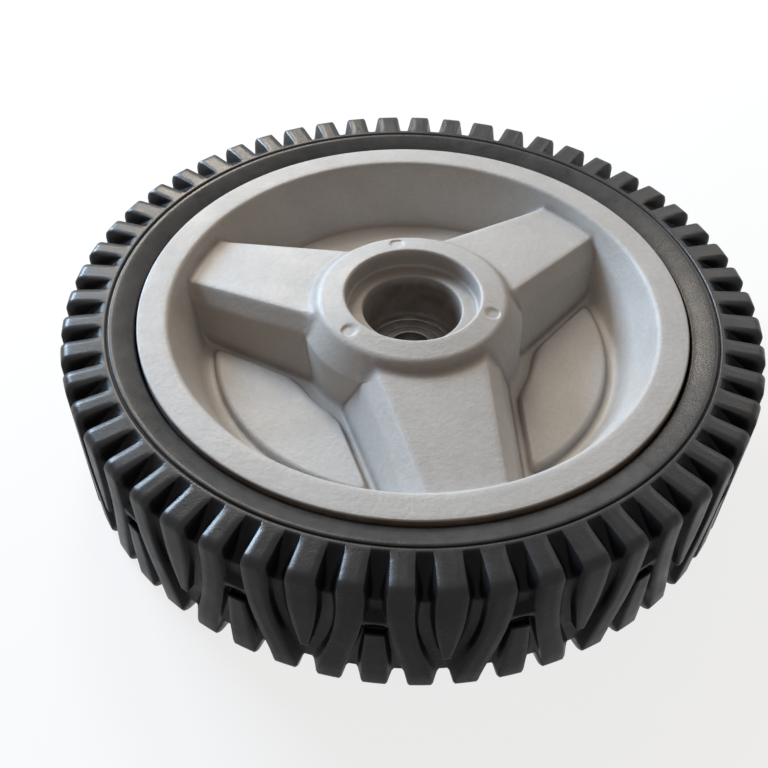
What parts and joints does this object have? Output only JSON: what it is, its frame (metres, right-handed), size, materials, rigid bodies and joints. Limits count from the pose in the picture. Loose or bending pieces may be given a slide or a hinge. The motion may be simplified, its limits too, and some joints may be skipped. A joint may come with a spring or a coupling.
{
  "type": "lawn mower wheel",
  "caption": "Lawn mower wheel: lugged black tyre on a dished, spoked grey rim with a stepped hub recess, turning on shielded ball bearings.",
  "frame": {"origin": "on the axle axis, at the underside of the tyre, with the wheel lying flat", "axes": "+Z along the axle, out of the wheel's outer face; -Y towards the side that the picture shows nearest"},
  "size_m": [0.2032, 0.2032, 0.0461],
  "materials": {
    "rim_grey": "moulded, semi-matte",
    "tyre_black": "smooth rubber",
    "bearing_steel": "ground",
    "shield_steel": "pressed sheet"
  },
  "bodies": {
    "wheel": {"rim": "rim_grey", "tyre": "tyre_black", "outboard_outer_ring": "bearing_steel", "outboard_upper_shield": "shield_steel", "outboard_lower_shield": "shield_steel", "inboard_outer_ring": "bearing_steel", "inboard_upper_shield": "shield_steel", "inboard_lower_shield": "shield_steel"},
    "axle_sleeve": {"outboard_inner_ring": "bearing_steel", "spacer_sleeve": "bearing_steel", "inboard_inner_ring": "bearing_steel"},
    "outboard_ball_set": {"outboard_balls": "bearing_steel", "outboard_cage": "bearing_steel"},
    "inboard_ball_set": {"inboard_balls": "bearing_steel", "inboard_cage": "bearing_steel"}
  },
  "joints": [
    {"name": "axle_turn", "type": "hinge", "parent": "wheel", "child": "axle_sleeve", "pos_m": [0, 0, 0.01312], "axis": [0, 0, 1], "continuous": true},
    {"name": "outboard_balls_turn", "type": "hinge", "parent": "wheel", "child": "outboard_ball_set", "pos_m": [0, 0, 0.02038], "axis": [0, 0, 1], "continuous": true},
    {"name": "inboard_balls_turn", "type": "hinge", "parent": "wheel", "child": "inboard_ball_set", "pos_m": [0, 0, 0.00587], "axis": [0, 0, 1], "continuous": true}
  ],
  "couplings": [
    {"joint": "outboard_balls_turn", "follows": "axle_turn", "ratio": 0.4038},
    {"joint": "inboard_balls_turn", "follows": "axle_turn", "ratio": 0.4038}
  ]
}
